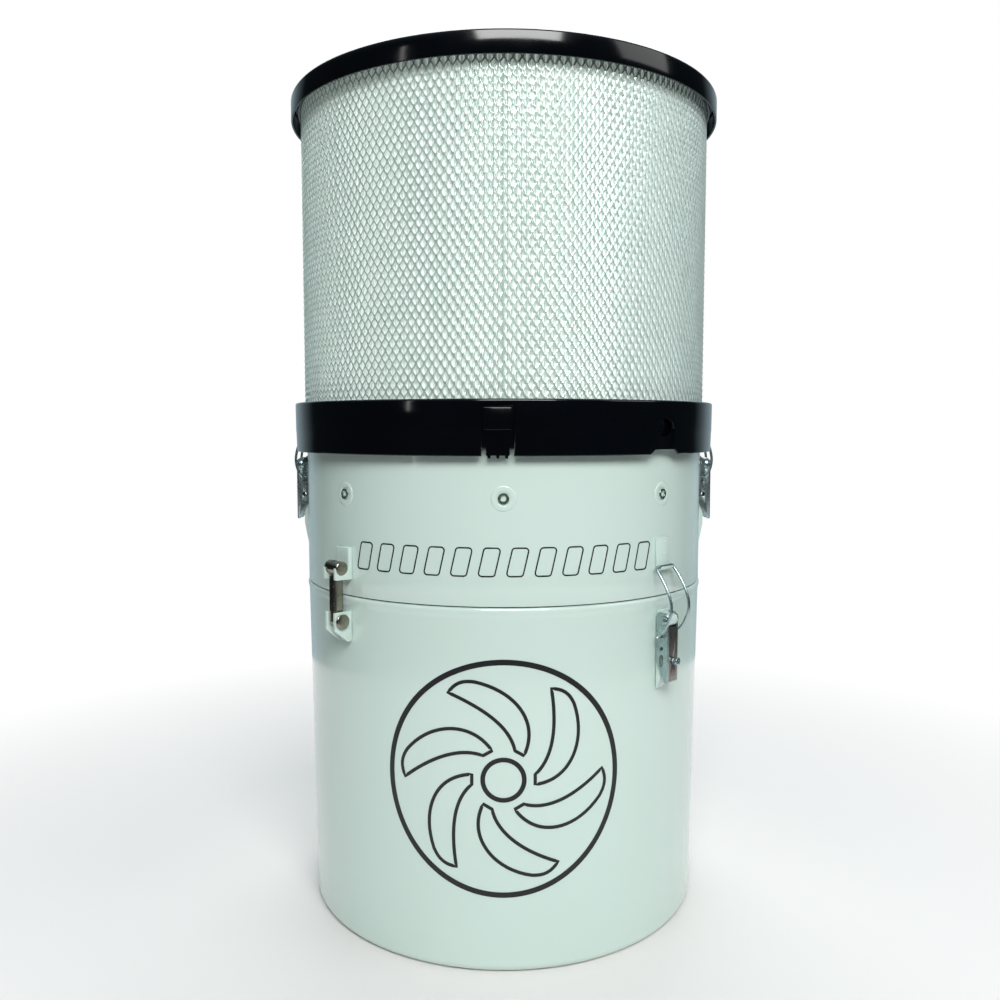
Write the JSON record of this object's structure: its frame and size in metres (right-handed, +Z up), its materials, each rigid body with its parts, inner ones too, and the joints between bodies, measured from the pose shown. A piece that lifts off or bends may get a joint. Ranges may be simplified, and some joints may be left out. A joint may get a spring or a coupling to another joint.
{
  "type": "centrifugal oil-mist collector with afterfilter",
  "caption": "Free-standing drum-shaped dust and oil-mist collector: hinged and latched steel casing, spinning drum, motor, and a clip-on pleated mesh afterfilter on top.",
  "frame": {"origin": "centre of the base, on the floor", "axes": "+Z up along the drum's axis, -Y towards the front, +X to the viewer's right"},
  "size_m": [0.4842, 0.485, 0.887],
  "materials": {
    "casing_paint": "gloss powder coat",
    "black_plastic": "gloss moulded",
    "zinc_plate": "bright zinc plated",
    "stainless": "machined stainless",
    "galvanised_mesh": "expanded metal",
    "filter_paper": "pleated non-woven",
    "rubber": "moulded",
    "aluminium": "cast and turned",
    "foam": "open-cell foam",
    "motor_paint": "satin enamel"
  },
  "bodies": {
    "casing_base": {"lower_casing": "casing_paint", "inlet_ring": "zinc_plate", "inlet_cone": "zinc_plate", "seam_gasket": "rubber", "drain_outlet": "zinc_plate", "hinge_lower_bracket": "casing_paint", "hinge_pin": "stainless", "seam_latch_right_base": "casing_paint", "seam_latch_rear_base": "casing_paint"},
    "hinge_arm": {"hinge_link": "stainless", "hinge_barrel": "stainless", "hinge_adjuster_screw": "stainless"},
    "casing_head": {"upper_casing": "casing_paint", "hinge_hook_bracket": "casing_paint", "seam_latch_right_catch": "casing_paint", "seam_latch_rear_catch": "casing_paint", "motor_plate": "zinc_plate", "motor_body": "motor_paint", "motor_terminal_box": "motor_paint", "exhaust_grille": "zinc_plate", "cable_gland": "black_plastic", "sound_lining": "foam", "mount_insert_1": "zinc_plate", "mount_insert_2": "zinc_plate", "mount_insert_3": "zinc_plate", "mount_insert_4": "zinc_plate", "mount_insert_5": "zinc_plate", "mount_insert_6": "zinc_plate", "motor_bolt_1": "zinc_plate", "motor_bolt_2": "zinc_plate", "motor_bolt_3": "zinc_plate", "motor_bolt_4": "zinc_plate", "collar_latch_left_base": "casing_paint", "collar_latch_right_base": "casing_paint"},
    "rotor": {"motor_shaft": "stainless", "rotor_hub": "aluminium", "drum_shell": "zinc_plate", "impeller_vanes": "zinc_plate", "drum_foam": "foam", "rotor_bolt": "zinc_plate"},
    "afterfilter": {"filter_collar": "black_plastic", "collar_clip": "black_plastic", "outer_mesh": "galvanised_mesh", "pleated_media": "filter_paper", "inner_mesh": "galvanised_mesh", "filter_end_cap": "black_plastic", "filter_gasket": "rubber", "collar_latch_left_catch": "zinc_plate", "collar_latch_right_catch": "zinc_plate"},
    "seam_latch_right_lever": {"seam_latch_right_lever": "zinc_plate", "seam_latch_right_lock_screw": "zinc_plate"},
    "seam_latch_right_bail": {"seam_latch_right_bail": "zinc_plate"},
    "seam_latch_rear_lever": {"seam_latch_rear_lever": "zinc_plate"},
    "seam_latch_rear_bail": {"seam_latch_rear_bail": "zinc_plate"},
    "collar_latch_left_lever": {"collar_latch_left_lever": "zinc_plate"},
    "collar_latch_left_bail": {"collar_latch_left_bail": "zinc_plate"},
    "collar_latch_right_lever": {"collar_latch_right_lever": "zinc_plate"},
    "collar_latch_right_bail": {"collar_latch_right_bail": "zinc_plate"}
  },
  "joints": [
    {"name": "hinge_arm_swing", "type": "hinge", "parent": "casing_base", "child": "hinge_arm", "pos_m": [-0.16794, -0.16794, 0.3398], "axis": [0.7071, -0.7071, 0], "range_deg": [0, 10]},
    {"name": "casing_tilt", "type": "hinge", "parent": "hinge_arm", "child": "casing_head", "pos_m": [-0.16794, -0.16794, 0.3935], "axis": [0.7071, -0.7071, 0], "range_deg": [0, 70]},
    {"name": "rotor_spin", "type": "hinge", "parent": "casing_head", "child": "rotor", "pos_m": [0, 0, 0.4], "axis": [0, 0, 1], "continuous": true},
    {"name": "afterfilter_lift", "type": "slide", "parent": "casing_head", "child": "afterfilter", "axis": [0, 0, 1], "range_m": [0, 0.06]},
    {"name": "seam_latch_right_open", "type": "hinge", "parent": "casing_base", "child": "seam_latch_right_lever", "pos_m": [0.16659, -0.16659, 0.3405], "axis": [-0.7071, -0.7071, 0], "range_deg": [0, 140]},
    {"name": "seam_latch_right_bail_swing", "type": "hinge", "parent": "seam_latch_right_lever", "child": "seam_latch_right_bail", "pos_m": [0.16447, -0.16447, 0.3244], "axis": [-0.7071, -0.7071, 0], "range_deg": [-155, 0]},
    {"name": "seam_latch_rear_open", "type": "hinge", "parent": "casing_base", "child": "seam_latch_rear_lever", "pos_m": [0, 0.2356, 0.3405], "axis": [1, 0, 0], "range_deg": [0, 140]},
    {"name": "seam_latch_rear_bail_swing", "type": "hinge", "parent": "seam_latch_rear_lever", "child": "seam_latch_rear_bail", "pos_m": [0, 0.2326, 0.3244], "axis": [1, 0, 0], "range_deg": [-155, 0]},
    {"name": "collar_latch_left_open", "type": "hinge", "parent": "casing_head", "child": "collar_latch_left_lever", "pos_m": [-0.2356, 0, 0.4905], "axis": [0, 1, 0], "range_deg": [0, 140]},
    {"name": "collar_latch_left_bail_swing", "type": "hinge", "parent": "collar_latch_left_lever", "child": "collar_latch_left_bail", "pos_m": [-0.2326, 0, 0.4744], "axis": [0, 1, 0], "range_deg": [-155, 0]},
    {"name": "collar_latch_right_open", "type": "hinge", "parent": "casing_head", "child": "collar_latch_right_lever", "pos_m": [0.2356, 0, 0.4905], "axis": [0, -1, 0], "range_deg": [0, 140]},
    {"name": "collar_latch_right_bail_swing", "type": "hinge", "parent": "collar_latch_right_lever", "child": "collar_latch_right_bail", "pos_m": [0.2326, 0, 0.4744], "axis": [0, -1, 0], "range_deg": [-155, 0]}
  ],
  "couplings": [
    {"joint": "seam_latch_right_bail_swing", "follows": "seam_latch_right_open", "ratio": -1.1},
    {"joint": "seam_latch_rear_bail_swing", "follows": "seam_latch_rear_open", "ratio": -1.1},
    {"joint": "collar_latch_left_bail_swing", "follows": "collar_latch_left_open", "ratio": -1.1},
    {"joint": "collar_latch_right_bail_swing", "follows": "collar_latch_right_open", "ratio": -1.1}
  ]
}
